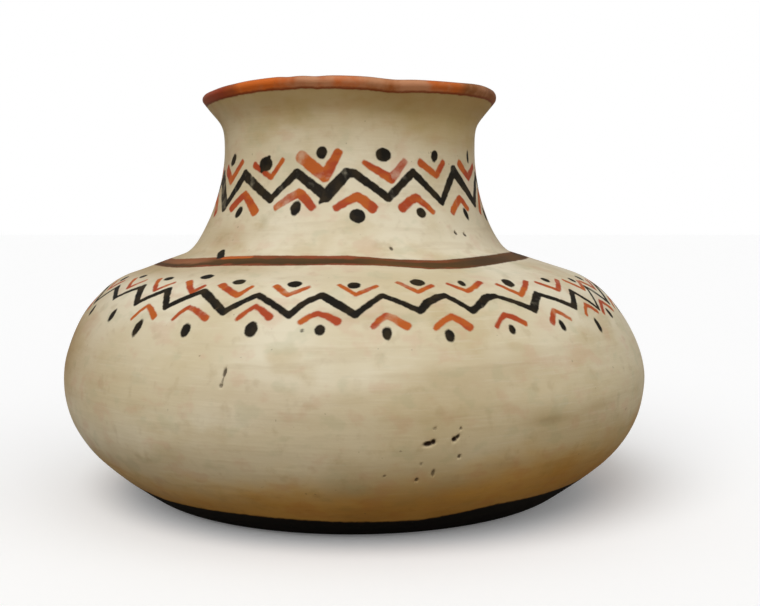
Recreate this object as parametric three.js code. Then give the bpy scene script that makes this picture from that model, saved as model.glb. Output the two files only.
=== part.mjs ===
// A wide-shouldered storage jar of coil-built earthenware. The clay is built up in five lifts that
// are scraped to one wall: a bowl pressed in a mould, the lower wall, the shoulder, the neck and the
// rim. Each lift is lapped on the one below with a bevelled joint and a film of wet slip between the
// two faces.
// Millimetres, +Z up. The jar stands on Z = 0 round the Z axis, and its front faces -Y.
import * as THREE from 'three';
import { mergeVertices } from 'three/addons/utils/BufferGeometryUtils.js';

// Outline of the outer skin, from the resting face up
const footRadius = 134.5;
const footEdgeRun = 9;
const bellyRadius = 193;
const bellyHeight = 78.5;
const ledgeRadius = 147.5;
const shoulderRise = 67.5;
const neckFootRadius = 110.5;
const ledgeRise = 12.8;
const neckRise = 67.7;
const waistRadius = 84.5;
const flareRise = 32.2;
const lipFlare = 13.7;

// How full each curve runs: the length of its handles
const underBellyReach = 33;
const underBellyRise = 23;
const bellyFullnessBelow = 37.5;
const bellyFullnessAbove = 18.5;
const shoulderFullness = 32;
const neckSweep = 12.5;
const waistFullnessBelow = 26.5;
const waistFullnessAbove = 20;
const lipSweepReach = 11.2;
const lipSweepDrop = 14.7;

// Thickness of the clay
const floorThickness = 9;
const wallThickness = 7.5;
const neckThickness = 6.5;
const lipThickness = 6.4;

// Lapped joints between the lifts
const bowlWallRun = 19;
const jointLap = 12;
const slipFilm = 0.3;

// What the hand left: the jar leans to the left up to the neck foot, then a little back to the right,
// its neck rises a little to the right, its body is a little oval and its lip is wavy
const ledgeShift = 1.6;
const neckFootShift = 5;
const waistShift = 3.9;
const neckTilt = 0.0045;
const bodyOvality = 0.6;
const lipWave = 0.9;
const lipWaves = 4;

// Fineness of the meshes
const turnSegments = 64;

const slipCream = new THREE.MeshStandardMaterial({ color: 0xc9bb98, roughness: 0.5, metalness: 0 });
const bareDarkClay = new THREE.MeshStandardMaterial({ color: 0x1c1611, roughness: 0.8, metalness: 0 });
const lipRed = new THREE.MeshStandardMaterial({ color: 0xb5683c, roughness: 0.55, metalness: 0 });

const point = (radius, height) => new THREE.Vector2(radius, height);

const ledgeHeight = bellyHeight + shoulderRise;
const neckFootHeight = ledgeHeight + ledgeRise;
const waistHeight = neckFootHeight + neckRise;
const lipHeight = waistHeight + flareRise;

// The outer skin in section: x is the radius and y the height, from the axis to the lip. Between the
// shoulder and the neck it runs straight, up a shallow ledge.
function outerSkin() {
  const lipRadius = waistRadius + lipFlare;
  const footFlat = point(footRadius - footEdgeRun, 0);
  const wallStart = point(footRadius, 0)
    .add(point(underBellyReach, underBellyRise).setLength(footEdgeRun));
  const belly = point(bellyRadius, bellyHeight);
  const ledge = point(ledgeRadius, ledgeHeight);
  const neckFoot = point(neckFootRadius, neckFootHeight);
  const downTheLedge = (length) => ledge.clone().sub(neckFoot).setLength(length);
  const waist = point(waistRadius, waistHeight);
  const lip = point(lipRadius, lipHeight);

  const skin = new THREE.CurvePath();
  skin.add(new THREE.LineCurve(point(0, 0), footFlat));
  skin.add(new THREE.QuadraticBezierCurve(footFlat, point(footRadius, 0), wallStart));
  skin.add(new THREE.CubicBezierCurve(
    wallStart,
    point(footRadius + underBellyReach, underBellyRise),
    point(bellyRadius, bellyHeight - bellyFullnessBelow),
    belly,
  ));
  skin.add(new THREE.CubicBezierCurve(
    belly,
    point(bellyRadius, bellyHeight + bellyFullnessAbove),
    ledge.clone().add(downTheLedge(shoulderFullness)),
    ledge,
  ));
  skin.add(new THREE.LineCurve(ledge, neckFoot));
  skin.add(new THREE.CubicBezierCurve(
    neckFoot,
    neckFoot.clone().sub(downTheLedge(neckSweep)),
    point(waistRadius, waistHeight - waistFullnessBelow),
    waist,
  ));
  skin.add(new THREE.CubicBezierCurve(
    waist,
    point(waistRadius, waistHeight + waistFullnessAbove),
    point(lipRadius - lipSweepReach, lipHeight - lipSweepDrop),
    lip,
  ));
  return skin;
}

const skin = outerSkin();
const [flatEnd, wallFoot, bellyRun, , neckFootRun, waistRun, lipRun] = skin.getCurveLengths();

const outerAt = (run) => skin.getPoint(Math.min(run / lipRun, 1));

function outwardAt(run) {
  const tangent = skin.getTangent(Math.min(run / lipRun, 1));
  return point(tangent.y, -tangent.x);
}

// Clay thickness at a run along the skin, eased between the floor, the wall, the neck and the lip
function thicknessAt(run) {
  const { smoothstep, lerp } = THREE.MathUtils;
  const body = lerp(floorThickness, wallThickness, smoothstep(run, flatEnd, bellyRun));
  const neck = lerp(body, neckThickness, smoothstep(run, bellyRun, waistRun));
  return lerp(neck, lipThickness, smoothstep(run, waistRun, lipRun));
}

const innerAt = (run) => outerAt(run).sub(outwardAt(run).multiplyScalar(thicknessAt(run)));

function stretch(pointAt, from, to, steps) {
  return Array.from({ length: steps + 1 }, (_, i) => pointAt(THREE.MathUtils.lerp(from, to, i / steps)));
}

// Takes a point of the true round jar to where the hand-built one has it
function handBuilt(position) {
  const { smoothstep } = THREE.MathUtils;
  const { x, y, z } = position;
  const angle = Math.atan2(y, x);
  const radius = Math.hypot(x, y);
  const onShoulder = smoothstep(z, bellyHeight, ledgeHeight);
  const onNeck = smoothstep(z, ledgeHeight, neckFootHeight);
  const onWaist = smoothstep(z, neckFootHeight, waistHeight);
  const onLip = smoothstep(z, waistHeight, lipHeight);
  const shift = ledgeShift * onShoulder
    + (neckFootShift - ledgeShift) * onNeck
    + (waistShift - neckFootShift) * onWaist;
  const oval = 1 + (bodyOvality / bellyRadius) * Math.cos(2 * angle);
  const waved = z - onLip * lipWave * Math.sin(lipWaves * angle);
  return new THREE.Vector3(
    radius * oval * Math.cos(angle) - shift,
    radius * oval * Math.sin(angle),
    waved + neckTilt * x * onNeck,
  );
}

// Turns a closed section round the Z axis, then gives it the hand-built shape
function turned(section) {
  const geometry = new THREE.LatheGeometry([...section, section[0]], turnSegments);
  geometry.rotateX(Math.PI / 2);
  const positions = geometry.attributes.position;
  for (let i = 0; i < positions.count; i += 1) {
    const place = handBuilt(new THREE.Vector3().fromBufferAttribute(positions, i));
    positions.setXYZ(i, place.x, place.y, place.z);
  }
  return outwardFacing(welded(geometry));
}

// Leaves only positions, with shared corners merged into one
function welded(geometry) {
  geometry.deleteAttribute('normal');
  geometry.deleteAttribute('uv');
  return mergeVertices(geometry, 1e-4);
}

function signedVolume(geometry) {
  const positions = geometry.attributes.position;
  const { array } = geometry.index;
  const corner = (i) => new THREE.Vector3().fromBufferAttribute(positions, array[i]);
  let volume = 0;
  for (let i = 0; i < array.length; i += 3) {
    volume += corner(i).dot(corner(i + 1).cross(corner(i + 2))) / 6;
  }
  return volume;
}

function outwardFacing(geometry) {
  if (signedVolume(geometry) < 0) {
    geometry.index.array.reverse();
  }
  return geometry;
}

// How far up the skin the film of slip in a joint moves the upper of its two bevelled faces
const filmRun = (run) => slipFilm * Math.hypot(thicknessAt(run), jointLap) / thicknessAt(run);

// A lift of clay between two joints. At each joint the lower lift stands up outside and the upper
// one laps down inside it, and the upper face lies one film of slip off the lower.
function lift(from, to, steps) {
  const outerFrom = from + jointLap / 2 + filmRun(from);
  const innerFrom = from - jointLap / 2 + filmRun(from);
  const outside = stretch(outerAt, outerFrom, to + jointLap / 2, steps);
  const inside = stretch(innerAt, innerFrom, to - jointLap / 2, steps);
  return turned([...outside, ...inside.reverse()]);
}

// The bowl pressed in the mould: a flat floor with its edge turned up to the first joint
function baseBowl() {
  const to = wallFoot + bowlWallRun;
  const outside = [
    point(0, 0),
    ...stretch(outerAt, flatEnd, wallFoot, 3),
    ...stretch(outerAt, wallFoot, to + jointLap / 2, 4).slice(1),
  ];
  const inside = [
    ...stretch(innerAt, to - jointLap / 2, flatEnd, 5),
    point(0, floorThickness),
  ];
  return turned([...outside, ...inside]);
}

// The flared rim, with a half-round lip from the outer skin over to the inner one
function rim(steps, lipSteps) {
  const film = filmRun(waistRun);
  const outside = stretch(outerAt, waistRun + jointLap / 2 + film, lipRun, steps);
  const inside = stretch(innerAt, waistRun - jointLap / 2 + film, lipRun, steps);
  const outerEdge = outerAt(lipRun);
  const innerEdge = innerAt(lipRun);
  const centre = outerEdge.clone().add(innerEdge).multiplyScalar(0.5);
  const lip = Array.from({ length: lipSteps - 1 }, (_, i) => (
    outerEdge.clone().rotateAround(centre, Math.PI * (i + 1) / lipSteps)
  ));
  return turned([...outside, ...lip, ...inside.reverse()]);
}

const jar = new THREE.Group();

function addPiece(name, geometry, material) {
  const mesh = new THREE.Mesh(geometry, material);
  mesh.name = name;
  jar.add(mesh);
}

addPiece('base_bowl', baseBowl(), bareDarkClay);
addPiece('lower_wall', lift(wallFoot + bowlWallRun, bellyRun, 7), slipCream);
addPiece('shoulder', lift(bellyRun, neckFootRun, 10), slipCream);
addPiece('neck', lift(neckFootRun, waistRun, 8), slipCream);
addPiece('rim', rim(5, 4), lipRed);

export default jar;
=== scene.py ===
"""A wide-shouldered storage jar of coil-built earthenware, with a cream slip.

Two painted bands of black zigzag between orange chevrons and black dots go round it, and a brown
line round the foot of the neck. The lip is orange-red, and the foot is near black. Metres, +Z up:
it stands on Z = 0 and its front faces -Y.
"""
import math

import bpy
import numpy as np
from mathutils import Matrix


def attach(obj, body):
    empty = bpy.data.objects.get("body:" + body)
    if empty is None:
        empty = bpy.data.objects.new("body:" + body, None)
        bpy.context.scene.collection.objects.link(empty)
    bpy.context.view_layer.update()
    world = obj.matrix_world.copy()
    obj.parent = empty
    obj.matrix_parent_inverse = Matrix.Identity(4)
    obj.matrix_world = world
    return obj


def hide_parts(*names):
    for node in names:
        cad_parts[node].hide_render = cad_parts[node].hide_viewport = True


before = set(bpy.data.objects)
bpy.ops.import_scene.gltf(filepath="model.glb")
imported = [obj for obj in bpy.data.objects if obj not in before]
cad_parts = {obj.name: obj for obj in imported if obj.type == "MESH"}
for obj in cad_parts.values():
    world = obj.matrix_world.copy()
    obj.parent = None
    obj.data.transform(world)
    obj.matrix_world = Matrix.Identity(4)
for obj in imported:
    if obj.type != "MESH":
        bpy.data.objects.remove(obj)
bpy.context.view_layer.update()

# Camera
# Level with the lower neck and half a metre in front of the belly, looking down by 4 degrees.
camera = bpy.data.cameras.new("camera")
camera.lens = 48
camera.sensor_width = 36
tripod = bpy.data.objects.new("camera", camera)
tripod.location = (0, -0.697, 0.1722)
tripod.rotation_euler = (math.radians(90 - 4.01), 0, math.radians(-1.36))
bpy.context.scene.collection.objects.link(tripod)
bpy.context.scene.camera = tripod

# Base bowl
# The jar was begun as a shallow bowl of clay pressed in a mould, with its edge turned up to carry the
# first coils. The whole jar stands on it, and its underside and its edge are coloured near black.
foot_radius = 0.1345
foot_edge_run = 0.009
belly_radius = 0.193
belly_height = 0.0785
ledge_radius = 0.1475
ledge_height = 0.146
neck_foot_radius = 0.1105
neck_foot_height = 0.1588
waist_radius = 0.0845
waist_height = 0.2265
lip_radius = 0.0982
lip_height = 0.2587

# How full each curve of the outline runs: the length of its handles
under_belly_reach = 0.033
under_belly_rise = 0.023
belly_fullness_below = 0.0375
belly_fullness_above = 0.0185
shoulder_fullness = 0.032
neck_sweep = 0.0125
waist_fullness_below = 0.0265
waist_fullness_above = 0.02
lip_sweep_reach = 0.0112
lip_sweep_drop = 0.0147

floor_thickness = 0.009
wall_thickness = 0.0075
neck_thickness = 0.0065
lip_thickness = 0.0064

bowl_wall_run = 0.019
half_lap = 0.006

# What the hand left: the jar leans to the left up to the neck foot and a little back above it, its
# neck rises to the right, its body is a little oval, its lip is wavy, and its skin is uneven
ledge_shift = 0.0016
neck_foot_shift = 0.0050
waist_shift = 0.0039
neck_tilt = 0.0045
body_ovality = 0.0006
lip_wave = 0.0009
lip_waves = 4
deepest_scar = 0.0016
scrape_depth = 0.0004
dimple_depth = 0.00025
finger_wipe_depth = 0.0006
inner_dimple_depth = 0.0003


def bezier(count, *handles):
    """Bezier curve at count + 1 even values of t: the sum of the handles, each weighted by its
    Bernstein share, which is the binomial factor times t to the i times (1 - t) to the rest."""
    t = np.linspace(0, 1, count + 1)[:, None]
    degree = len(handles) - 1
    shares = [math.comb(degree, i) * t**i * (1 - t) ** (degree - i) for i in range(degree + 1)]
    return sum(share * np.array(handle) for share, handle in zip(shares, handles))


def lengths_along(points):
    """Length run along a line of points, from its first point to each."""
    return np.concatenate([[0], np.cumsum(np.hypot(*np.diff(points, axis=0).T))])


def outer_skin():
    """Radius and height of the outer skin from the middle of the underside to the lip: a flat, a
    rounded edge, a cubic curve each for the under-belly and the shoulder, a straight ledge up to the
    foot of the neck, and a cubic curve each for the neck and the flare. Returns the points, and the
    run at the end of each stretch."""
    turn_up = np.array([under_belly_reach, under_belly_rise])
    flat_end = (foot_radius - foot_edge_run, 0)
    foot = np.array([foot_radius, 0])
    wall_foot = foot + turn_up * foot_edge_run / np.hypot(*turn_up)
    belly = (belly_radius, belly_height)
    under_belly = (belly_radius, belly_height - belly_fullness_below)
    over_belly = (belly_radius, belly_height + belly_fullness_above)
    ledge = np.array([ledge_radius, ledge_height])
    neck_foot = np.array([neck_foot_radius, neck_foot_height])
    down_the_ledge = (ledge - neck_foot) / np.hypot(*(ledge - neck_foot))
    waist = (waist_radius, waist_height)
    under_waist = (waist_radius, waist_height - waist_fullness_below)
    over_waist = (waist_radius, waist_height + waist_fullness_above)
    lip = (lip_radius, lip_height)
    lip_sweep = (lip_radius - lip_sweep_reach, lip_height - lip_sweep_drop)
    stretches = [
        bezier(80, (0, 0), flat_end),
        bezier(80, flat_end, foot, wall_foot),
        bezier(600, wall_foot, foot + turn_up, under_belly, belly),
        bezier(800, belly, over_belly, ledge + shoulder_fullness * down_the_ledge, ledge),
        bezier(200, ledge, neck_foot),
        bezier(600, neck_foot, neck_foot - neck_sweep * down_the_ledge, under_waist, waist),
        bezier(400, waist, over_waist, lip_sweep, lip),
    ]
    points = np.concatenate([stretches[0], *(stretch[1:] for stretch in stretches[1:])])
    ends = np.cumsum([lengths_along(stretch)[-1] for stretch in stretches])
    return points, ends


def ease(value, start, end):
    """Smooth step from 0 at start to 1 at end: 3 q squared less 2 q cubed."""
    q = np.clip((value - start) / (end - start), 0, 1)
    return q * q * (3 - 2 * q)


skin, skin_ends = outer_skin()
flat_end_run, wall_foot_run, belly_run, _, neck_foot_run, waist_run, lip_run = skin_ends
skin_runs = lengths_along(skin)
bowl_joint_run = wall_foot_run + bowl_wall_run


def clay_thickness(run):
    """Thickness at a run along the skin, eased from floor to wall, to neck and to lip."""
    to_wall = floor_thickness + (wall_thickness - floor_thickness) * ease(run, flat_end_run, belly_run)
    to_neck = to_wall + (neck_thickness - to_wall) * ease(run, belly_run, waist_run)
    return to_neck + (lip_thickness - to_neck) * ease(run, waist_run, lip_run)


def walk_round_the_wall():
    """The jar's whole section as one walk: up the outer skin, over the half-round lip and down the
    inner skin to the middle of the floor. Returns its points, its outward normals, the way walked
    to each point, and the way to the inner skin behind each point of the outer one."""
    slope = np.gradient(skin, skin_runs, axis=0)
    outward = np.stack([slope[:, 1], -slope[:, 0]], axis=-1)
    outward /= np.linalg.norm(outward, axis=-1, keepdims=True)
    inner = skin - outward * clay_thickness(skin_runs)[:, None]
    middle = (skin[-1] + inner[-1]) / 2
    turn = np.linspace(0, np.pi, 61)[1:-1, None]
    upward = np.array([-outward[-1, 1], outward[-1, 0]])
    lip_outward = outward[-1] * np.cos(turn) + upward * np.sin(turn)
    lip = middle + lip_outward * clay_thickness(lip_run) / 2
    points = np.concatenate([skin, lip, inner[::-1]])
    normals = np.concatenate([outward, lip_outward, -outward[::-1]])
    ways = lengths_along(points)
    return points, normals, ways, ways[::-1][: len(skin)]


walk, walk_normals, walk_ways, inner_ways = walk_round_the_wall()
# The top of the lip is a quarter of a circle on from the end of the outer skin
lip_top_way = lip_run + np.pi / 4 * clay_thickness(lip_run)


def way_inside(run):
    """Way walked to the inner skin behind a run of the outer skin."""
    return np.interp(run, skin_runs, inner_ways)


def run_at_height(height):
    """Run of the outer skin at a height: the skin climbs all the way from its foot to the lip."""
    climbing = skin_runs > flat_end_run
    return np.interp(height, skin[climbing, 1], skin_runs[climbing])


def slow_waves(seed, count, most_rounds, steepest):
    """Unevenness from 0 to 1 over the way and the angle: a sum of sines that run round the jar a
    whole number of times and climb it, squeezed by a hyperbolic tangent."""
    draw = np.random.default_rng(seed)
    rounds = draw.integers(1, most_rounds, count)
    climbs = draw.uniform(-steepest, steepest, count)
    phases = draw.uniform(0, 2 * np.pi, count)

    def height(way, angle):
        total = sum(np.sin(n * angle + k * way + p) for n, k, p in zip(rounds, climbs, phases))
        return 0.5 + 0.5 * np.tanh(total / math.sqrt(count))

    return height


def bearing_of(angle):
    """Bearing in degrees to the right of the front, from -180 to 180, of an angle round the axis."""
    return np.mod(np.degrees(angle) + 90 + 180, 360) - 180


scraping = slow_waves(seed=3, count=14, most_rounds=9, steepest=110)
dimpling = slow_waves(seed=8, count=18, most_rounds=26, steepest=330)
finger_wipes = slow_waves(seed=5, count=10, most_rounds=3, steepest=900)

# Dips in the lip: bearing in degrees to the right of the front, half width in degrees, depth
lip_dips = [
    (16, 6.5, 0.0010), (-22, 3, 0.0005), (-11.5, 3.5, 0.0005), (118, 9, 0.0008), (-131, 7, 0.0006),
]

# Scars: bearing, height, half width, half height, degrees that the right end hangs down, strength
scars = [
    (11.1, 0.0640, 0.0026, 0.0013, -6, 1.0), (11.9, 0.0649, 0.0013, 0.0014, 0, 1.0),
    (15.3, 0.0658, 0.0014, 0.0013, -20, 1.0), (15.8, 0.0670, 0.0009, 0.0014, 40, 0.9),
    (16.3, 0.0716, 0.0007, 0.0008, 0, 0.5), (16.4, 0.0561, 0.0008, 0.0011, 0, 0.7),
    (12.4, 0.0473, 0.0009, 0.0022, 0, 0.6), (9.8, 0.0436, 0.0009, 0.0012, 0, 0.7),
    (10.2, 0.0531, 0.0007, 0.0009, 0, 0.35), (12.1, 0.0721, 0.0011, 0.0008, 0, 0.35),
    (4.5, 0.0467, 0.0008, 0.0007, 0, 0.5), (-21.1, 0.1001, 0.0009, 0.0024, 8, 0.8),
    (-21.3, 0.0962, 0.0005, 0.0024, 8, 0.5), (-21.5, 0.0934, 0.0010, 0.0011, 0, 0.6),
    (42.3, 0.1719, 0.0011, 0.0011, 0, 0.9), (47.0, 0.1709, 0.0012, 0.0010, 0, 0.9),
    (14.3, 0.1633, 0.0010, 0.0010, 0, 0.8),
]


def scarring(way, angle):
    """Depth of the scars in metres: at each a dent that falls off as the exponential of minus the
    distance from its middle, in half widths, to the third power."""
    depth = np.zeros(np.broadcast(way, angle).shape)
    for bearing, height, half_width, half_height, hang, strength in scars:
        run = run_at_height(height)
        radius = np.interp(run, skin_runs, skin[:, 0])
        aside = (np.mod(angle - math.radians(bearing - 90) + np.pi, 2 * np.pi) - np.pi) * radius
        climb = way - run
        turn = math.radians(hang)
        away = ((aside * math.cos(turn) - climb * math.sin(turn)) / half_width) ** 2
        away = away + ((climb * math.cos(turn) + aside * math.sin(turn)) / half_height) ** 2
        depth = np.maximum(depth, deepest_scar * strength * np.exp(-(away**1.5)))
    return depth


def on_jar(way, angle):
    """Point of the jar at a way along the section and an angle round the axis. The section point is
    sunk along its normal by the unevenness and the scars, then turned and made a little oval. Its
    middle wanders to the left up to the neck foot, the neck leans, and the lip waves and dips."""
    radius = np.interp(way, walk_ways, walk[:, 0])
    height = np.interp(way, walk_ways, walk[:, 1])
    normal_out = np.interp(way, walk_ways, walk_normals[:, 0])
    normal_up = np.interp(way, walk_ways, walk_normals[:, 1])
    inside = ease(way, lip_top_way, lip_top_way + 0.02)
    dimples = dimpling(way, angle)
    sink = scrape_depth * scraping(way, angle) + dimple_depth * dimples
    sink = sink + inside * (finger_wipe_depth * finger_wipes(way, angle) + inner_dimple_depth * dimples)
    sink = sink * np.maximum(ease(height, 0.003, 0.02), inside) + scarring(way, angle)
    radius = radius - sink * normal_out
    height = height - sink * normal_up
    on_shoulder = ease(height, belly_height, ledge_height)
    on_neck = ease(height, ledge_height, neck_foot_height)
    on_waist = ease(height, neck_foot_height, waist_height)
    on_lip = ease(height, waist_height, lip_height)
    shift = ledge_shift * on_shoulder + (neck_foot_shift - ledge_shift) * on_neck
    shift = shift + (waist_shift - neck_foot_shift) * on_waist
    lean = neck_tilt * radius * np.cos(angle) * on_neck
    wave = -lip_wave * np.sin(lip_waves * angle)
    for bearing, half_width, depth in lip_dips:
        wave = wave - depth * np.exp(-(((bearing_of(angle) - bearing) / half_width) ** 2))
    oval = 1 + body_ovality / belly_radius * np.cos(2 * angle)
    return np.stack([
        radius * oval * np.cos(angle) - shift,
        radius * oval * np.sin(angle),
        height + on_lip * wave + lean,
    ], axis=-1)


def spot_on_jar(bearing, height):
    """Point of the outer skin at a bearing and a height."""
    return on_jar(run_at_height(height), math.radians(bearing - 90))


def facing(way, angle):
    """Outward unit normal of the jar: the cross product of the surface's slopes round and up, each
    taken over a short step to both sides."""
    around = on_jar(way, angle + 0.003) - on_jar(way, angle - 0.003)
    along = on_jar(way + 0.0003, angle) - on_jar(way - 0.0003, angle)
    normal = np.cross(around, along)
    return normal / np.linalg.norm(normal, axis=-1, keepdims=True)


# Angles of the grid round the axis, finer on the front half, where the camera stands
front_angles = np.linspace(-190, 10, 640, endpoint=False)
back_angles = np.linspace(10, 170, 320, endpoint=False)
turn_angles = np.radians(np.concatenate([front_angles, back_angles]))


def grid_faces(rings, columns, ring_closed):
    """Quads of a grid that is closed round its columns, and round its rings too if asked."""
    ring = np.arange(rings if ring_closed else rings - 1)[:, None]
    column = np.arange(columns)[None, :]
    next_ring = (ring + 1) % rings
    next_column = (column + 1) % columns
    corners = [
        ring * columns + column,
        ring * columns + next_column,
        next_ring * columns + next_column,
        next_ring * columns + column,
    ]
    return np.stack(corners, axis=-1).reshape(-1, 4)


def new_piece(name, points, faces, normals):
    """Object at the origin with a smooth mesh of these points, faces and outward normals."""
    mesh = bpy.data.meshes.new(name)
    mesh.from_pydata(points.tolist(), [], faces)
    mesh.polygons.foreach_set("use_smooth", np.ones(len(mesh.polygons), dtype=bool))
    mesh.normals_split_custom_set_from_vertices(normals.tolist())
    piece = bpy.data.objects.new(name, mesh)
    bpy.context.scene.collection.objects.link(piece)
    return piece


def write_field(piece, name, values):
    """Writes one number for each point of the mesh, for the material to read."""
    field = piece.data.attributes.get(name) or piece.data.attributes.new(name, "FLOAT", "POINT")
    field.data.foreach_set("value", np.asarray(values, dtype=np.float32).ravel())


def black_foot_edge(angle):
    """Height at which the near-black colour of the foot ends, as it wanders round the foot: stations of
    bearing and height, joined by straight lines."""
    bearings, heights = zip(
        (-180, 0.0190), (-120, 0.0170), (-80, 0.0170), (-52, 0.0165), (-46, 0.0152), (-22, 0.0163),
        (-2, 0.0146), (13, 0.0142), (29, 0.0208), (48, 0.0208), (80, 0.0200), (120, 0.0170),
        (180, 0.0190),
    )
    return np.interp(bearing_of(angle), bearings, heights)


# Broad darkenings: bearing, height, half width in degrees, half height, strength. Most are stains of
# use. Those at the jar's sides, at bearings -80, -78 and 82, are painted shade, and two more darken
# the shoulder just under the line at the foot of the neck.
stains_and_side_shade = [
    (-78, 0.098, 24, 0.032, 1.0), (-60, 0.150, 22, 0.006, 0.7), (-28, 0.151, 14, 0.003, 0.4),
    (24, 0.099, 12, 0.010, 0.3), (4, 0.128, 10, 0.003, 0.3), (33.1, 0.0716, 6, 0.003, 0.4),
    (45.3, 0.0747, 5, 0.003, 0.4), (26, 0.049, 5, 0.004, 0.3), (-80, 0.190, 16, 0.060, 0.5),
    (82, 0.172, 26, 0.026, 0.6), (-15, 0.087, 12, 0.011, 0.42), (-50, 0.168, 14, 0.010, 0.5),
    (130, 0.100, 22, 0.018, 0.5), (-140, 0.085, 16, 0.014, 0.5), (170, 0.175, 20, 0.012, 0.4),
]


def stain_and_shade_strength(way, angle):
    """Strength of the broad darkenings, stains and painted shade, from 0 to 1: a bell over each, as
    wide and as high as it is, on the outer skin only."""
    total = np.zeros(np.broadcast(way, angle).shape)
    for bearing, height, half_width, half_height, strength in stains_and_side_shade:
        aside = (np.mod(bearing_of(angle) - bearing + 180, 360) - 180) / half_width
        climb = (np.interp(way, walk_ways, walk[:, 1]) - height) / half_height
        total = total + strength * np.exp(-(aside**2) - climb**2)
    return np.clip(total, 0, 1) * ease(way, lip_top_way, lip_run)


# What a field of paint holds where there is none: metres outside any stroke
no_paint = -0.01


def lift_of_clay(name, ways, poles=False):
    """One lift: the grid of the jar's surface at these ways round the whole section of the lift,
    closed from the last way back to the first, or at both ends by a pole on the axis. Its fields
    are the way from the top of the lip, the height over the edge of the near-black foot, and the
    broad darkenings of stain and painted shade. The fields of the paint start out as bare clay."""
    way = ways[:, None]
    angle = turn_angles[None, :]
    points = on_jar(way, angle).reshape(-1, 3)
    normals = facing(way, angle).reshape(-1, 3)
    columns = len(turn_angles)
    faces = grid_faces(len(ways), columns, ring_closed=not poles).tolist()
    from_lip = np.broadcast_to(way - lip_top_way, (len(ways), columns)).ravel()
    over_black_foot = points[:, 2] - np.broadcast_to(black_foot_edge(angle), (len(ways), columns)).ravel()
    stain_and_shade = stain_and_shade_strength(way, angle).ravel()
    if poles:
        under = len(points)
        last_ring = under - columns
        here = np.arange(columns)
        following = (here + 1) % columns
        underside = [np.full(columns, under), following, here]
        floor = [np.full(columns, under + 1), here + last_ring, following + last_ring]
        faces += np.stack(underside, axis=-1).tolist() + np.stack(floor, axis=-1).tolist()
        points = np.concatenate([points, [[0, 0, 0], [0, 0, points[last_ring, 2]]]])
        normals = np.concatenate([normals, [[0, 0, -1], [0, 0, 1]]])
        from_lip = np.append(from_lip, [-lip_top_way, walk_ways[-1] - lip_top_way])
        over_black_foot = np.append(over_black_foot, [-0.02, 0])
        stain_and_shade = np.append(stain_and_shade, [0, 0])
    piece = new_piece(name, points, faces, normals)
    write_field(piece, "from_lip", from_lip)
    write_field(piece, "over_black_foot", over_black_foot)
    write_field(piece, "stain_and_shade", stain_and_shade)
    for paint in ("orange_paint", "black_paint", "line_paint"):
        write_field(piece, paint, np.full(len(points), no_paint))
    for share in ("paint_load", "line_across", "line_redness", "line_thinness",
                  "lip_wear", "lip_orange", "lip_soiled"):
        write_field(piece, share, np.zeros(len(points)))
    return piece


def tint(red, green, blue):
    """Linear colour of a swatch written in the usual values from 0 to 255."""
    swatch = np.array([red, green, blue]) / 255
    linear = np.where(swatch <= 0.04045, swatch / 12.92, ((swatch + 0.055) / 1.055) ** 2.4)
    return (*linear.tolist(), 1)


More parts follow.
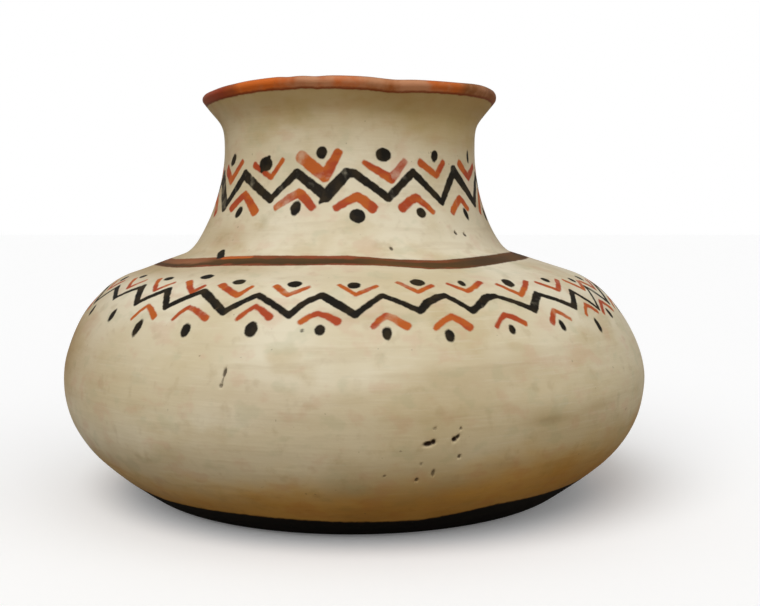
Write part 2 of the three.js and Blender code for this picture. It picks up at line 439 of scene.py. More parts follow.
class Finish:
    """A Principled material that is built up coat by coat, each laid over the last by a mask."""

    def __init__(self, name):
        self.material = bpy.data.materials.new(name)
        self.material.use_nodes = True
        self.tree = self.material.node_tree
        self.shader = self.tree.nodes["Principled BSDF"]
        self.place = self.node("ShaderNodeTexCoord").outputs["Object"]
        self.across, _, self.height = self.node("ShaderNodeSeparateXYZ", {0: self.place}).outputs

    def feed(self, socket, value):
        """Links another node's output to a socket, or writes a plain value on it."""
        if isinstance(value, bpy.types.NodeSocket):
            self.tree.links.new(value, socket)
        else:
            socket.default_value = value

    def node(self, kind, fed=None, **settings):
        """A new node with these settings, and its sockets fed with these outputs or values."""
        node = self.tree.nodes.new(kind)
        for setting, value in settings.items():
            setattr(node, setting, value)
        for socket, value in (fed or {}).items():
            self.feed(node.inputs[socket], value)
        return node

    def field(self, name):
        """A number that the mesh holds for each of its points."""
        return self.node("ShaderNodeAttribute", attribute_name=name).outputs["Fac"]

    def noise(self, scale, stretch=(1, 1, 1), detail=3.0, shift=0.0):
        """Cloudy noise around 0.5 with patches about one over scale metres wide, divided by stretch."""
        mapping = self.node("ShaderNodeMapping", {
            "Vector": self.place,
            "Location": (shift, shift * 0.7, shift * 1.3),
            "Scale": stretch,
        })
        noise = self.node("ShaderNodeTexNoise", {
            "Vector": mapping.outputs["Vector"],
            "Scale": scale,
            "Detail": detail,
        })
        return noise.outputs["Fac"]

    def math(self, operation, first, second=0.0):
        """One sum on two values, or on the first alone."""
        node = self.node("ShaderNodeMath", {0: first, 1: second}, operation=operation)
        return node.outputs["Value"]

    def times(self, *values):
        """Product of masks and plain numbers."""
        product = values[0]
        for value in values[1:]:
            product = self.math("MULTIPLY", product, value)
        return product

    def plus(self, *values):
        """Sum of values."""
        total = values[0]
        for value in values[1:]:
            total = self.math("ADD", total, value)
        return total

    def sway(self, noise, reach):
        """A noise made to swing about 0 instead of 0.5, and as far as reach."""
        return self.times(self.plus(noise, -0.5), reach)

    def span(self, value, start, end, low=0.0, high=1.0):
        """Smooth mask that goes from low at start to high at end."""
        (from_low, to_low), (from_high, to_high) = sorted([(start, low), (end, high)])
        node = self.node("ShaderNodeMapRange", {
            "Value": value,
            "From Min": from_low,
            "From Max": from_high,
            "To Min": to_low,
            "To Max": to_high,
        }, interpolation_type="SMOOTHSTEP")
        return node.outputs["Result"]

    def coat(self, mask, below, above):
        """Colour or number above laid over below where the mask is 1."""
        # A Mix node has its colours on other sockets than its numbers
        colour = isinstance(above, tuple) or getattr(above, "type", "") == "RGBA"
        first, second, result = (6, 7, 2) if colour else (2, 3, 0)
        node = self.node(
            "ShaderNodeMix", {0: mask, first: below, second: above},
            data_type="RGBA" if colour else "FLOAT",
        )
        return node.outputs[result]

    def stain(self, mask, below, shares):
        """Colour below with its red, green and blue cut to these shares where the mask is 1."""
        node = self.node(
            "ShaderNodeMix", {0: mask, 6: below, 7: (*shares, 1)},
            data_type="RGBA", blend_type="MULTIPLY",
        )
        return node.outputs[2]

    def dent(self, bearing, height, half_width, half_height, hang, strength):
        """Mask of a small ellipse that lies on the jar, with a soft edge."""
        mapping = self.node("ShaderNodeMapping", {
            "Vector": self.place,
            "Location": spot_on_jar(bearing, height).tolist(),
            "Rotation": (0, math.radians(hang), math.radians(bearing)),
            "Scale": (half_width, 0.01, half_height),
        }, vector_type="TEXTURE")
        reach = self.node("ShaderNodeVectorMath", {0: mapping.outputs["Vector"]}, operation="LENGTH")
        return self.span(reach.outputs["Value"], 1.4, 0.6, high=strength)

    def finish(self, fed):
        """Feeds the shader's sockets with these outputs or values, and returns the material."""
        for socket, value in fed.items():
            self.feed(self.shader.inputs[socket], value)
        return self.material


def slipped_and_painted_clay():
    """The finish of the whole jar. Cream slip is wiped on in level strokes and burnished, stained
    ochre towards the base, browned under the rim by stain and painted shade, darkened at its sides
    by painted shade, and then painted. The inside is bare tan clay, the lip has its own orange-red
    slip, and the foot is near black."""
    clay = Finish("slipped_and_painted_clay")
    from_lip = clay.field("from_lip")

    # Noise at the scales that the surface shows, from broad clouds down to grit
    clouds = clay.noise(9, detail=4)
    patches = clay.noise(28, (1, 1, 1.6), detail=5, shift=1.7)
    wipes = clay.noise(16, (1, 1, 9), detail=5, shift=3.1)
    fine_wipes = clay.noise(45, (1, 1, 14), detail=4, shift=4.4)
    blush = clay.noise(60, (1, 1, 1.4), detail=3, shift=2.6)
    mottle = clay.noise(110, detail=5, shift=5.2)
    grit = clay.noise(620, detail=3, shift=6.3)
    ragged = clay.noise(260, detail=4, shift=7.9)

    # Cream slip
    slip = clay.coat(clay.span(clouds, 0.38, 0.64), tint(226, 216, 190), tint(210, 195, 160))
    for noise, start, end, strength, swatch in (
        (patches, 0.50, 0.72, 0.55, (196, 176, 134)),
        (wipes, 0.52, 0.70, 0.25, (190, 170, 136)),
        (fine_wipes, 0.46, 0.30, 0.15, (232, 224, 204)),
        (blush, 0.54, 0.68, 0.22, (206, 158, 132)),
        (blush, 0.44, 0.32, 0.22, (178, 180, 146)),
        (mottle, 0.56, 0.74, 0.25, (176, 154, 116)),
    ):
        slip = clay.coat(clay.span(noise, start, end, high=strength), slip, tint(*swatch))

    # Stains and painted shade: broad darkenings, mostly hand-sized stains, with painted shade at the
    # jar's sides; a greying towards the base; ochre that deepens towards the base and to the right; and
    # brown under the rim, partly stain and partly painted shade under the flare
    # The broad darkenings: stains, and painted shade at the jar's sides
    slip = clay.stain(clay.field("stain_and_shade"), slip, (0.58, 0.45, 0.28))
    unevenly = clay.plus(clay.sway(patches, 0.03), clay.sway(clouds, 0.02))
    uneven_height = clay.plus(clay.height, unevenly)
    # Greyer and darker towards the base, less so towards the left and right
    off_middle = clay.math("ABSOLUTE", clay.plus(clay.across, -0.04))
    darkening_to_base = clay.plus(uneven_height, clay.times(off_middle, 0.3))
    slip = clay.stain(clay.span(darkening_to_base, 0.112, 0.090), slip, (0.83, 0.78, 0.69))
    rust = clay.plus(uneven_height, clay.times(clay.across, -0.09))
    slip = clay.stain(clay.span(rust, 0.056, 0.030), slip, (0.95, 0.83, 0.59))
    ochre = clay.plus(uneven_height, clay.times(clay.math("MINIMUM", clay.across, 0.09), -0.10))
    slip = clay.stain(clay.span(ochre, 0.052, 0.023), slip, (0.89, 0.64, 0.28))
    # Brown under the rim, stronger to the right: partly stain, partly painted shade under the flared
    # lip
    under_rim_stain_and_shade = clay.plus(from_lip, clay.sway(patches, 0.03), clay.times(clay.across, 0.18))
    slip = clay.coat(clay.span(under_rim_stain_and_shade, -0.056, -0.012, high=0.70), slip, tint(176, 146, 80))
    slip = clay.coat(clay.span(under_rim_stain_and_shade, -0.022, 0.002, high=0.30), slip, tint(146, 102, 34))

    # The foot, coloured near black up to a ragged edge
    over_black_foot = clay.plus(clay.field("over_black_foot"), clay.sway(ragged, 0.0014))
    black_foot_mask = clay.span(over_black_foot, 0.0009, -0.0009)
    black_foot_colour = clay.coat(clay.span(mottle, 0.35, 0.7), tint(6, 5, 4), tint(18, 12, 8))
    colour = clay.coat(black_foot_mask, slip, black_foot_colour)

    # Orange-red slip over the lip, and bare clay inside
    ragged_edge = clay.sway(ragged, 0.0016)
    lip_edge = clay.plus(from_lip, ragged_edge)
    on_lip = clay.times(clay.span(lip_edge, -0.0096, -0.0084), clay.span(lip_edge, 0.0135, 0.0115))
    lip = clay.coat(clay.field("lip_orange"), tint(156, 62, 28), tint(212, 106, 36))
    lip = clay.coat(clay.field("lip_soiled"), lip, tint(116, 84, 38))
    worn = clay.span(clay.plus(clay.field("lip_wear"), clay.sway(mottle, 1.6)), 0.15, 0.9)
    lip = clay.coat(clay.times(worn, 0.85), lip, tint(200, 144, 106))
    lip = clay.coat(clay.span(lip_edge, -0.0066, -0.0084, high=0.9), lip, tint(120, 52, 14))
    lip = clay.coat(clay.span(lip_edge, -0.0012, 0.0008, high=0.4), lip, tint(98, 66, 36))
    bare = clay.coat(clay.span(clouds, 0.4, 0.6), tint(168, 132, 92), tint(140, 104, 68))
    bare = clay.coat(clay.span(mottle, 0.5, 0.7, high=0.5), bare, tint(112, 84, 56))
    inside = clay.span(from_lip, 0.010, 0.0125)
    colour = clay.coat(inside, colour, bare)
    colour = clay.coat(on_lip, colour, lip)

    # The line round the foot of the neck: dark brown, with redder and thinner paint at its edges
    line_mask = clay.span(clay.plus(clay.field("line_paint"), ragged_edge), -0.0006, 0.0010, high=0.98)
    across_line = clay.plus(clay.field("line_across"), clay.sway(mottle, 0.5))
    lower_edge = clay.span(across_line, 0.26, 0.06)
    upper_edge = clay.span(across_line, 0.62, 0.82)
    line_edges = clay.math("MAXIMUM", lower_edge, upper_edge)
    line = clay.coat(clay.span(wipes, 0.4, 0.66), tint(66, 42, 10), tint(90, 58, 16))
    thin_above = clay.times(clay.field("line_thinness"), clay.span(across_line, 0.25, 0.55))
    line = clay.coat(thin_above, line, tint(150, 96, 60))
    line = clay.coat(clay.times(line_edges, clay.field("line_redness"), 0.85), line, tint(146, 66, 36))
    colour = clay.coat(line_mask, colour, line)

    # Orange and black paint, brushed on before the firing
    load = clay.plus(clay.field("paint_load"), clay.sway(mottle, 1.4))
    cover = clay.span(load, 0.0, 0.55, low=0.45)
    in_orange = clay.plus(clay.field("orange_paint"), ragged_edge)
    orange_mask = clay.times(clay.span(in_orange, -0.0006, 0.0006), cover)
    orange = clay.coat(clay.span(blush, 0.42, 0.58), tint(184, 92, 34), tint(168, 68, 34))
    colour = clay.coat(orange_mask, colour, orange)
    in_black = clay.plus(clay.field("black_paint"), ragged_edge)
    black_mask = clay.times(clay.span(in_black, -0.0005, 0.0005), cover)
    black = clay.coat(clay.span(mottle, 0.4, 0.66), tint(20, 15, 6), tint(46, 36, 18))
    colour = clay.coat(black_mask, colour, black)

    # Scars are coloured a near-black brown, and grit shows as darker specks
    scar = 0.0
    for place_and_size in scars:
        scar = clay.math("MAXIMUM", scar, clay.dent(*place_and_size))
    colour = clay.coat(scar, colour, tint(38, 20, 5))
    specks = clay.span(clay.noise(300, detail=1, shift=9.1), 0.77, 0.82, high=0.4)
    colour = clay.coat(specks, colour, tint(96, 76, 52))

    # Gloss, and the fine relief of the surface in metres
    roughness = clay.coat(clay.span(wipes, 0.35, 0.65), 0.42, 0.55)
    roughness = clay.coat(line_mask, roughness, 0.7)
    roughness = clay.coat(orange_mask, roughness, 0.6)
    roughness = clay.coat(black_mask, roughness, 0.65)
    roughness = clay.coat(black_foot_mask, roughness, 0.8)
    roughness = clay.coat(inside, roughness, 0.85)
    relief = clay.plus(
        clay.times(wipes, 0.0003),
        clay.times(fine_wipes, 0.00008),
        clay.times(mottle, 0.00012),
        clay.times(grit, 0.00004),
        clay.times(clay.math("MAXIMUM", orange_mask, black_mask), 0.00006),
        clay.times(scar, -0.0002),
    )
    bump = clay.node("ShaderNodeBump", {"Distance": 1.0, "Height": relief})
    return clay.finish({
        "Base Color": colour,
        "Roughness": roughness,
        "Specular IOR Level": 0.15,
        "Normal": bump.outputs["Normal"],
    })


clay_finish = slipped_and_painted_clay()
pole_ring = 0.012
underside_ways = np.linspace(pole_ring, flat_end_run, 9, endpoint=False)
foot_edge_ways = np.linspace(flat_end_run, wall_foot_run, 12, endpoint=False)
bowl_wall_ways = np.linspace(wall_foot_run, bowl_joint_run + half_lap, 18)
bowl_inside_ways = way_inside(np.linspace(bowl_joint_run - half_lap, pole_ring, 30))
base_bowl = lift_of_clay(
    "mould_pressed_bowl",
    np.concatenate([underside_ways, foot_edge_ways, bowl_wall_ways, bowl_inside_ways]),
    poles=True,
)
base_bowl.data.materials.append(clay_finish)
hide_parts("base_bowl")
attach(base_bowl, "root")

# Lower wall
# Coils laid on the bowl and scraped to one wall, which swells out to the widest part of the belly.
# Its cream slip is stained by use and by years of standing.


def ways_between_joints(start_run, end_run, outside_rows, inside_rows):
    """Ways round the section of a lift between two joints. Each joint is a bevel: the upper lift
    starts half a lap higher on the outer skin and half a lap lower on the inner one."""
    outside = np.linspace(start_run + half_lap, end_run + half_lap, outside_rows)
    inside = way_inside(np.linspace(end_run - half_lap, start_run - half_lap, inside_rows))
    return np.concatenate([outside, inside])


lower_wall_ways = ways_between_joints(bowl_joint_run, belly_run, outside_rows=66, inside_rows=28)
lower_wall = lift_of_clay("lower_wall_coils", lower_wall_ways)
lower_wall.data.materials.append(clay_finish)
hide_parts("lower_wall")
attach(lower_wall, "root")

# Shoulder
# Coils drawn in from the belly and up a shallow ledge to the foot of the neck. It carries the lower
# painted band, a black zigzag with orange chevrons and black dots over and under it, and the line.

# How far the swing of the hand lifts the middle of a stroke of the chevrons under a zigzag
swing = 0.0006


class PaintedBand:
    """Paint on one lift of clay, kept as the distance that each point lies inside a stroke. A mark
    is a list of spots, each a bearing, a height and the half width of the brush there."""

    def __init__(self, piece, seed):
        points = np.empty(len(piece.data.vertices) * 3, dtype=np.float32)
        piece.data.vertices.foreach_get("co", points)
        self.piece = piece
        self.points = points.reshape(-1, 3).astype(float)
        self.deepest = np.full(len(self.points), no_paint)
        self.inside_by = {"orange_paint": self.deepest, "black_paint": self.deepest}
        self.load = np.zeros(len(self.points))
        self.draw = np.random.default_rng(seed)

    def lay(self, paint, inside, load):
        """Adds a stroke: how far each point lies inside it, and how full the brush was."""
        self.load = np.where(inside > self.deepest, load, self.load)
        self.deepest = np.maximum(self.deepest, inside)
        self.inside_by[paint] = np.maximum(self.inside_by[paint], inside)

    def stroke(self, paint, start, end, load, bluntness=2):
        """A brush stroke between two spots: each point's distance to the line between them, taken
        from the half width there. Past an end, the distances across the line and beyond it are
        added as powers: 2 gives a round end, and more gives the blunt one of a flat brush."""
        first = spot_on_jar(*start[:2])
        line = spot_on_jar(*end[:2]) - first
        length = np.linalg.norm(line)
        along = (self.points - first) @ (line / length)
        across = np.linalg.norm(self.points - first - along[:, None] * (line / length), axis=-1)
        beyond = np.maximum(0, np.abs(along - length / 2) - length / 2)
        away = (across**bluntness + beyond**bluntness) ** (1 / bluntness)
        half = start[2] + (end[2] - start[2]) * np.clip(along / length, 0, 1)
        self.lay(paint, half - away, load)

    def dot(self, bearing, height, half_width, half_height, tilt=0.0):
        """A dab of black: an ellipse in the plane that touches the jar, turned by tilt degrees. Points
        more than 4 mm off that plane are on the other side of the wall."""
        middle = spot_on_jar(bearing, height)
        right = spot_on_jar(bearing + 0.5, height) - middle
        upward = spot_on_jar(bearing, height + 0.0005) - middle
        right = right / np.linalg.norm(right)
        upward = upward / np.linalg.norm(upward)
        turn = math.radians(tilt)
        along = math.cos(turn) * right + math.sin(turn) * upward
        across = math.cos(turn) * upward - math.sin(turn) * right
        away = self.points - middle
        reach = np.hypot(away @ along / half_width, away @ across / half_height)
        behind = np.abs(away @ np.cross(right, upward)) > 0.004
        inside = np.where(behind, no_paint, (1 - reach) * min(half_width, half_height))
        self.lay("black_paint", inside, self.draw.uniform(0.7, 1.0))

    def zigzag(self, corners, loads):
        """Strokes of black from corner to corner, each as wide at its end as the mean of its two
        corners, by a brush that is between these two loads full."""
        for start, (bearing, height, half) in zip(corners, corners[1:]):
            end = (bearing, height, (start[2] + half) / 2)
            self.stroke("black_paint", start, end, self.draw.uniform(*loads))

    def chevron(self, left, middle, right, bow=0.0):
        """Two orange strokes that meet in the middle. Each is bowed: its own middle is lifted by
        bow metres, as a hand swings it."""
        for start, end in ((middle, left), (middle, right)):
            load = self.draw.uniform(0.4, 1.0)
            bearing, height, half = (np.array(start) + end) / 2
            halfway = (bearing, height + bow, half)
            self.stroke("orange_paint", start, halfway, load)
            self.stroke("orange_paint", halfway, end, load, bluntness=3)

    def front(self, corners, loads, over, under, dots):
        """The front of the band: its zigzag, the chevrons over it and under it, and the dots."""
        self.zigzag(corners, loads)
        for spots in over:
            self.chevron(*spots)
        for spots in under:
            self.chevron(*spots, bow=swing)
        for place_and_size in dots:
            self.dot(*place_and_size)

    def keep(self):
        """Writes the paint into the piece's mesh."""
        for paint, inside in self.inside_by.items():
            write_field(self.piece, paint, np.maximum(inside, no_paint))
        write_field(self.piece, "paint_load", self.load)


shoulder_ways = ways_between_joints(belly_run, neck_foot_run, outside_rows=80, inside_rows=22)
shoulder = lift_of_clay("shoulder_coils", shoulder_ways)
shoulder.data.materials.append(clay_finish)
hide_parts("shoulder")
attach(shoulder, "root")

shoulder_zigzag = [
    (-64.1, 0.1388, 0.0022), (-58.0, 0.1330, 0.0014), (-51.3, 0.1405, 0.0028), (-47.3, 0.1317, 0.0018),
    (-41.2, 0.1399, 0.0025), (-37.8, 0.1309, 0.0019), (-31.2, 0.1399, 0.0027), (-24.1, 0.1297, 0.0022),
    (-18.5, 0.1387, 0.0022), (-11.4, 0.1288, 0.0021), (-8.6, 0.1357, 0.0020), (-5.9, 0.1388, 0.0028),
    (0.3, 0.1292, 0.0021), (5.5, 0.1388, 0.0019), (12.0, 0.1309, 0.0023), (13.7, 0.1349, 0.0026),
    (16.3, 0.1377, 0.0025), (17.9, 0.1384, 0.0018), (22.0, 0.1303, 0.0021), (24.2, 0.1334, 0.0025),
    (26.0, 0.1363, 0.0028), (27.4, 0.1372, 0.0023), (28.8, 0.1373, 0.0017), (35.8, 0.1297, 0.0028),
    (39.9, 0.1375, 0.0019), (48.2, 0.1290, 0.0024), (52.6, 0.1375, 0.0018), (57.8, 0.1263, 0.0014),
    (62.6, 0.1385, 0.0016),
]
# Chevrons: the left tip, the point and the right tip
shoulder_upper_chevrons = [
    ((-60.8, 0.1440, 0.0018), (-57.0, 0.1390, 0.0015), (-54.0, 0.1436, 0.0014)),
    ((-49.0, 0.1447, 0.0018), (-45.1, 0.1390, 0.0015), (-41.9, 0.1434, 0.0013)),
    ((-37.9, 0.1444, 0.0021), (-33.8, 0.1390, 0.0018), (-32.4, 0.1424, 0.0016)),
    ((-28.2, 0.1433, 0.0024), (-22.8, 0.1382, 0.0022), (-20.9, 0.1427, 0.0014)),
    ((-15.6, 0.1430, 0.0022), (-12.5, 0.1388, 0.0018), (-8.9, 0.1428, 0.0016)),
    ((-2.7, 0.1439, 0.0014), (0.5, 0.1393, 0.0016), (4.6, 0.1433, 0.0015)),
    ((9.4, 0.1450, 0.0017), (12.8, 0.1404, 0.0016), (16.2, 0.1434, 0.0017)),
    ((20.0, 0.1441, 0.0013), (23.1, 0.1401, 0.0017), (27.7, 0.1443, 0.0020)),
    ((31.7, 0.1430, 0.0015), (35.1, 0.1373, 0.0018), (40.9, 0.1440, 0.0019)),
    ((43.9, 0.1432, 0.0018), (47.8, 0.1385, 0.0017), (52.8, 0.1436, 0.0018)),
    ((56.0, 0.1430, 0.0020), (59.6, 0.1375, 0.0018), (63.3, 0.1420, 0.0018)),
]
shoulder_lower_chevrons = [
    ((-45.4, 0.1237, 0.0013), (-43.1, 0.1311, 0.0015), (-39.5, 0.1257, 0.0022)),
    ((-34.4, 0.1250, 0.0013), (-32.2, 0.1316, 0.0016), (-27.2, 0.1265, 0.0023)),
    ((-20.8, 0.1267, 0.0014), (-18.1, 0.1331, 0.0016), (-15.0, 0.1280, 0.0023)),
    ((-9.1, 0.1258, 0.0019), (-6.2, 0.1299, 0.0018), (-2.9, 0.1262, 0.0026)),
    ((3.3, 0.1236, 0.0017), (5.8, 0.1289, 0.0020), (8.9, 0.1237, 0.0027)),
    ((14.0, 0.1224, 0.0015), (17.5, 0.1280, 0.0020), (20.2, 0.1226, 0.0027)),
    ((25.7, 0.1222, 0.0012), (28.3, 0.1277, 0.0018), (31.9, 0.1232, 0.0020)),
    ((38.6, 0.1222, 0.0020), (41.0, 0.1283, 0.0017), (44.1, 0.1230, 0.0015)),
    ((50.6, 0.1245, 0.0014), (53.2, 0.1297, 0.0015), (56.0, 0.1253, 0.0020)),
]
# Dots: bearing, height, half width, half height and, where there is one, tilt
shoulder_dots = [
    (-58.9, 0.1454, 0.0034, 0.0026), (-46.0, 0.1453, 0.0040, 0.0028), (-35.1, 0.1470, 0.0043, 0.0035),
    (-24.9, 0.1451, 0.0040, 0.0033), (-12.0, 0.1443, 0.0043, 0.0036), (0.2, 0.1438, 0.0036, 0.0035),
    (13.6, 0.1451, 0.0043, 0.0043, -20), (23.3, 0.1443, 0.0021, 0.0034),
    (35.1, 0.1438, 0.0038, 0.0048, -20), (48.3, 0.1442, 0.0030, 0.0030), (60.7, 0.1430, 0.0030, 0.0030),
    (-66.4, 0.1242, 0.0026, 0.0040), (-53.1, 0.1240, 0.0028, 0.0044),
    (-42.5, 0.1192, 0.0029, 0.0058, -12), (-30.5, 0.1198, 0.0031, 0.0044),
    (-17.7, 0.1217, 0.0037, 0.0047), (-5.7, 0.1217, 0.0028, 0.0032),
    (5.5, 0.1203, 0.0027, 0.0038), (16.2, 0.1183, 0.0027, 0.0039), (28.6, 0.1203, 0.0022, 0.0032),
    (40.8, 0.1202, 0.0023, 0.0038), (52.6, 0.1178, 0.0024, 0.0048), (-8.7, 0.1215, 0.0016, 0.0010),
]
lower_band = PaintedBand(shoulder, seed=21)
lower_band.front(
    shoulder_zigzag, (0.6, 1.0), shoulder_upper_chevrons, shoulder_lower_chevrons, shoulder_dots
)


def carry_round_the_back(band, start, end, repeats, low, high, size):
    """Goes on with a band behind the jar, from one bearing to the other: in each repeat a zigzag
    from high to low and back, a chevron and a dot over its notch, and the same under its peak."""
    step = (end - start) / repeats
    reach = 0.32 * step

    def waver(spread):
        """A random step to either side, of up to the spread."""
        return band.draw.uniform(-spread, spread)

    corners = [(start, high, 0.55 * size)]
    for repeat in range(repeats):
        peak = start + repeat * step
        notch = peak + step / 2
        foot = low + waver(0.0008)
        corners.append((notch + waver(0.6), foot, 0.50 * size * (1 + waver(0.25))))
        next_peak = (peak + step + waver(0.6), high + waver(0.0008), 0.66 * size * (1 + waver(0.25)))
        corners.append(next_peak)
        tip = high + 0.9 * size
        band.chevron(
            (notch - reach, tip + waver(0.0006), 0.58 * size),
            (notch, foot + 2.3 * size, 0.48 * size),
            (notch + reach, tip + waver(0.0006), 0.48 * size),
        )
        band.dot(notch + waver(0.6), tip + 0.4 * size, 0.95 * size, 0.9 * size)
        tip = low - 1.1 * size
        band.chevron(
            (peak - reach, tip + waver(0.0006), 0.50 * size),
            (peak, high - 2.3 * size, 0.50 * size),
            (peak + reach, tip + waver(0.0006), 0.68 * size),
            bow=swing,
        )
        band.dot(peak + waver(0.6), tip - 0.4 * size, 0.78 * size, 1.05 * size)
    corners[-1] = (end, high, 0.45 * size)
    band.zigzag(corners, loads=(0.5, 0.9))


carry_round_the_back(
    lower_band, start=62.6, end=295.9, repeats=20, low=0.1285, high=0.1385, size=0.0036
)

# The line round the foot of the neck: bearing, lower edge, upper edge, how red its edges are and how
# thin the paint lies. It was begun and ended at a blot, beside which an orange stroke runs along it.
line_stations = np.array([
    (-180, 0.1530, 0.1580, 0.6, 0.0), (-150, 0.1522, 0.1572, 0.3, 0.2),
    (-120, 0.1515, 0.1570, 0.5, 0.4), (-90, 0.1513, 0.1560, 0.2, 0.5),
    (-67, 0.1511, 0.1556, 0.2, 0.6), (-53, 0.1509, 0.1567, 0.2, 0.9),
    (-47, 0.1513, 0.1574, 0.3, 0.8), (-41.3, 0.1522, 0.1581, 1.0, 0.0),
    (-36, 0.1528, 0.1586, 1.0, 0.0), (-30.8, 0.1529, 0.1590, 0.8, 0.0),
    (-20.6, 0.1531, 0.1589, 0.7, 0.0), (-12.4, 0.1534, 0.1588, 1.0, 0.0),
    (-5, 0.1539, 0.1587, 1.0, 0.0), (0.4, 0.1538, 0.1590, 1.0, 0.0),
    (6, 0.1536, 0.1584, 0.6, 0.0), (10, 0.1532, 0.1575, 0.4, 0.0),
    (15, 0.1524, 0.1567, 0.4, 0.0), (20, 0.1514, 0.1565, 0.7, 0.0),
    (28, 0.1511, 0.1561, 0.6, 0.0), (34, 0.1518, 0.1566, 0.2, 0.0),
    (41, 0.1527, 0.1572, 0.1, 0.0), (49.7, 0.1536, 0.1578, 0.1, 0.0),
    (59.7, 0.1544, 0.1586, 0.1, 0.0), (75, 0.1550, 0.1590, 0.2, 0.0),
    (100, 0.1548, 0.1590, 0.5, 0.1), (130, 0.1530, 0.1582, 0.3, 0.2),
    (160, 0.1535, 0.1585, 0.6, 0.0), (180, 0.1530, 0.1580, 0.6, 0.0),
])


def paint_the_line(piece, ways):
    """Writes the line on a lift: how far each point lies inside it, its place from 0 at the lower
    edge to 1 at the upper one, how red the line's edges are there and how thin its paint lies."""
    stations, *columns = line_stations.T
    bearing = bearing_of(turn_angles)
    low, high, redness, thinness = (np.interp(bearing, stations, column) for column in columns)
    low_run = run_at_height(low)
    high_run = run_at_height(high)
    inside = np.minimum(ways[:, None] - low_run, high_run - ways[:, None])
    write_field(piece, "line_paint", np.maximum(inside, no_paint))
    across = (ways[:, None] - low_run) / (high_run - low_run)
    write_field(piece, "line_across", np.clip(across, 0, 1))
    write_field(piece, "line_redness", np.broadcast_to(redness, across.shape))
    write_field(piece, "line_thinness", np.broadcast_to(thinness, across.shape))


blot_foot = (-42.4, 0.1576, 0.0024)
blot_top = (-46.0, 0.1603, 0.0026)
paint_the_line(shoulder, shoulder_ways)
lower_band.stroke("black_paint", blot_foot, blot_top, 1.0)
lower_band.stroke("orange_paint", (-40.0, 0.1574, 0.0026), (-30.5, 0.1580, 0.0018), 1.0)
lower_band.keep()

# Neck
# Coils gathered in to the narrow waist of the jar and smoothed with a wet hand. It carries the upper
# painted band, of the same marks, drawn larger and more boldly.
neck_ways = ways_between_joints(neck_foot_run, waist_run, outside_rows=76, inside_rows=26)
neck = lift_of_clay("neck_coils", neck_ways)
neck.data.materials.append(clay_finish)
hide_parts("neck")
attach(neck, "root")

neck_zigzag = [
    (-73.9, 0.2088, 0.0045), (-59.9, 0.1885, 0.0026), (-49.4, 0.2084, 0.0033), (-32.0, 0.1924, 0.0021),
    (-21.6, 0.2080, 0.0028), (-8.7, 0.1938, 0.0040), (-0.9, 0.2074, 0.0030), (2.2, 0.2072, 0.0025),
    (15.6, 0.1925, 0.0026), (26.9, 0.2083, 0.0025), (39.5, 0.1903, 0.0020), (50.4, 0.2104, 0.0038),
    (62.9, 0.1906, 0.0024), (75.3, 0.2095, 0.0020),
]
neck_upper_chevrons = [
    ((-67.0, 0.2125, 0.0032), (-60.3, 0.2050, 0.0026), (-53.0, 0.2163, 0.0020)),
    ((-43.5, 0.2138, 0.0020), (-33.4, 0.2057, 0.0018), (-28.5, 0.2163, 0.0014)),
    ((-19.9, 0.2173, 0.0038), (-9.7, 0.2058, 0.0038), (-4.6, 0.2196, 0.0026)),
    ((6.3, 0.2135, 0.0018), (17.2, 0.2040, 0.0030), (23.0, 0.2142, 0.0022)),
    ((30.9, 0.2142, 0.0025), (38.6, 0.2068, 0.0022), (43.3, 0.2150, 0.0019)),
    ((55.8, 0.2150, 0.0030), (62.6, 0.2072, 0.0026), (71.5, 0.2150, 0.0022)),
]
neck_lower_chevrons = [
    ((-84.0, 0.1862, 0.0028), (-76.0, 0.1955, 0.0028), (-69.0, 0.1855, 0.0030)),
    ((-53.0, 0.1880, 0.0032), (-46.5, 0.1957, 0.0026), (-38.6, 0.1855, 0.0032)),
    ((-28.2, 0.1878, 0.0024), (-19.6, 0.1958, 0.0030), (-14.0, 0.1878, 0.0027)),
    ((-4.2, 0.1869, 0.0024), (3.4, 0.1933, 0.0029), (9.0, 0.1868, 0.0034)),
    ((21.0, 0.1868, 0.0030), (27.2, 0.1930, 0.0027), (33.8, 0.1845, 0.0018)),
    ((44.3, 0.1845, 0.0022), (51.0, 0.1930, 0.0024), (54.7, 0.1872, 0.0022)),
]
neck_dots = [
    (-60.9, 0.2185, 0.0046, 0.0028, 45), (-37.2, 0.2141, 0.0054, 0.0046),
    (-11.4, 0.2199, 0.0034, 0.0038), (14.1, 0.2185, 0.0048, 0.0043),
    (38.5, 0.2188, 0.0037, 0.0028, 62), (64.9, 0.2205, 0.0018, 0.0042),
    (-47.4, 0.1850, 0.0040, 0.0028, 62), (-20.2, 0.1868, 0.0033, 0.0050, -12),
    (3.5, 0.1818, 0.0048, 0.0046, 8), (28.5, 0.1837, 0.0034, 0.0033),
    (52.4, 0.1832, 0.0022, 0.0040, 15),
]
upper_band = PaintedBand(neck, seed=34)
upper_band.front(neck_zigzag, (0.46, 0.68), neck_upper_chevrons, neck_lower_chevrons, neck_dots)
# Two runs of paint from the blot over the second chevron, and a hook under the zigzag's third notch
upper_band.stroke("black_paint", (-37.2, 0.2141, 0.0034), (-39.0, 0.2100, 0.0016), 0.9)
upper_band.stroke("black_paint", (-37.2, 0.2141, 0.0030), (-35.6, 0.2180, 0.0016), 0.9)
upper_band.stroke("black_paint", (-8.9, 0.1931, 0.0030), (-10.9, 0.1900, 0.0010), 0.9)
carry_round_the_back(
    upper_band, start=75.3, end=286.1, repeats=9, low=0.1905, high=0.2095, size=0.0047
)
upper_band.stroke("black_paint", blot_foot, blot_top, 1.0)
upper_band.keep()
paint_the_line(neck, neck_ways)

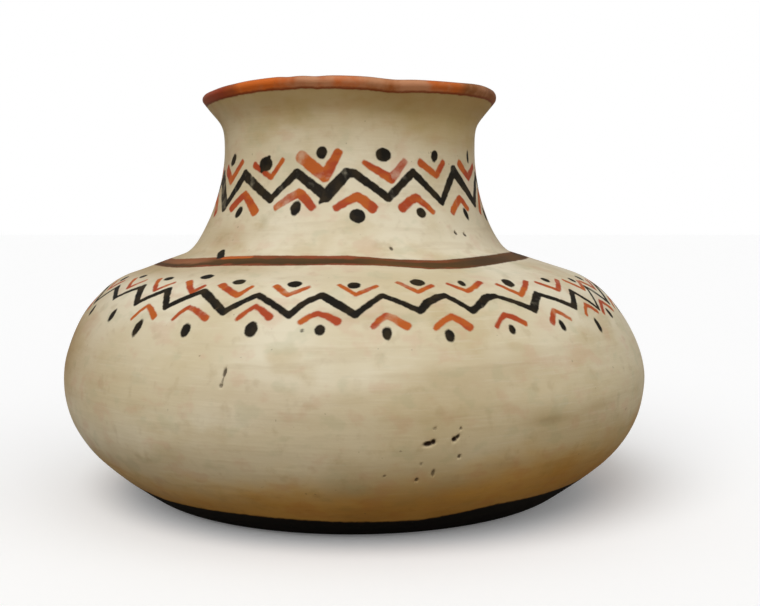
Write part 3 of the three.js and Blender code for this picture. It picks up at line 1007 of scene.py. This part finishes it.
# Rim
# The last coil, flared by hand to a rounded lip that is thinner than the wall. An orange-red slip
# was wiped over the lip and a little way inside, and handling has worn it through in places.
rim_outside_ways = np.linspace(waist_run + half_lap, lip_run, 36, endpoint=False)
lip_ways = np.linspace(lip_run, way_inside(lip_run), 16, endpoint=False)
rim_inside_ways = way_inside(np.linspace(lip_run, waist_run - half_lap, 36))
rim = lift_of_clay("flared_rim", np.concatenate([rim_outside_ways, lip_ways, rim_inside_ways]))
rim.data.materials.append(clay_finish)
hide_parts("rim")
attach(rim, "root")

# Bearing, how far the lip's slip is worn through there, how orange it is rather than red, and how
# soiled it is
lip_stations = np.array([
    (-180, 0.35, 0.6, 0.0), (-140, 0.60, 0.8, 0.0), (-100, 0.20, 0.4, 0.2), (-76, 0.05, 0.1, 0.3),
    (-62, 0.05, 0.0, 0.0), (-54, 0.05, 0.0, 0.0), (-47, 0.10, 0.3, 0.2), (-43, 0.20, 1.0, 0.0),
    (-28, 0.25, 1.0, 0.0), (-22, 0.35, 0.7, 0.1), (-18, 0.75, 0.5, 0.2), (-11, 0.80, 0.5, 0.2),
    (-6, 0.60, 0.8, 0.0), (4, 0.55, 0.8, 0.1), (8, 0.50, 0.7, 0.5), (17, 0.50, 0.7, 0.5),
    (20, 0.90, 0.6, 0.1), (28, 0.90, 0.7, 0.0), (31, 0.35, 0.9, 0.1), (43, 0.35, 0.9, 0.2),
    (48, 0.35, 0.5, 0.7), (66, 0.30, 0.4, 0.7), (75, 0.10, 0.2, 0.6), (95, 0.20, 0.5, 0.3),
    (140, 0.55, 0.8, 0.0), (180, 0.35, 0.6, 0.0),
])
rim_rows = len(rim.data.vertices) // len(turn_angles)
for column, field_name in ((1, "lip_wear"), (2, "lip_orange"), (3, "lip_soiled")):
    round_the_lip = np.interp(bearing_of(turn_angles), lip_stations[:, 0], lip_stations[:, column])
    write_field(rim, field_name, np.tile(round_the_lip, rim_rows))

# Studio
# A pale floor without an edge, a broad soft light from over the camera's left shoulder, a weaker one
# from the right, and a pale room. The camera sees floor and room as near white.
scene = bpy.context.scene
scene.view_settings.view_transform = "Standard"

floor_size = 60
floor_mesh = bpy.data.meshes.new("studio_floor")
floor_corners = [(-floor_size, -floor_size, 0), (floor_size, -floor_size, 0)]
floor_corners += [(floor_size, floor_size, 0), (-floor_size, floor_size, 0)]
floor_mesh.from_pydata(floor_corners, [], [(0, 1, 2, 3)])
studio_floor = bpy.data.objects.new("studio_floor", floor_mesh)
scene.collection.objects.link(studio_floor)
paper = Finish("floor_paper")
seen_by_camera = paper.node("ShaderNodeLightPath").outputs["Is Camera Ray"]
floor_mesh.materials.append(paper.finish({
    "Base Color": paper.coat(seen_by_camera, (0.32, 0.28, 0.23, 1), (0.98, 0.98, 0.98, 1)),
    "Emission Color": (1, 1, 1, 1),
    "Emission Strength": paper.times(seen_by_camera, 0.10),
    "Roughness": 1.0,
    "Specular IOR Level": 0.0,
}))


def soft_light(name, strength, height, bearing, spread):
    """A sun as wide as a soft box: its height and its bearing to the right of the front, in degrees."""
    lamp = bpy.data.lights.new(name, "SUN")
    lamp.energy = strength
    lamp.angle = math.radians(spread)
    holder = bpy.data.objects.new(name, lamp)
    holder.rotation_euler = (math.radians(90 - height), 0, math.radians(bearing))
    scene.collection.objects.link(holder)


soft_light("key_light", strength=1.66, height=48, bearing=-28, spread=50)
soft_light("fill_light", strength=0.6, height=30, bearing=50, spread=70)

room = bpy.data.worlds.new("room")
room.use_nodes = True
room_nodes = room.node_tree.nodes
room_links = room.node_tree.links
room_seen = room_nodes.new("ShaderNodeLightPath").outputs["Is Camera Ray"]
room_level = room_nodes.new("ShaderNodeMapRange")
room_level.inputs["To Min"].default_value = 0.4
room_level.inputs["To Max"].default_value = 1.0
room_links.new(room_seen, room_level.inputs["Value"])
room_links.new(room_level.outputs["Result"], room_nodes["Background"].inputs["Strength"])
room_nodes["Background"].inputs["Color"].default_value = (1, 1, 1, 1)
scene.world = room
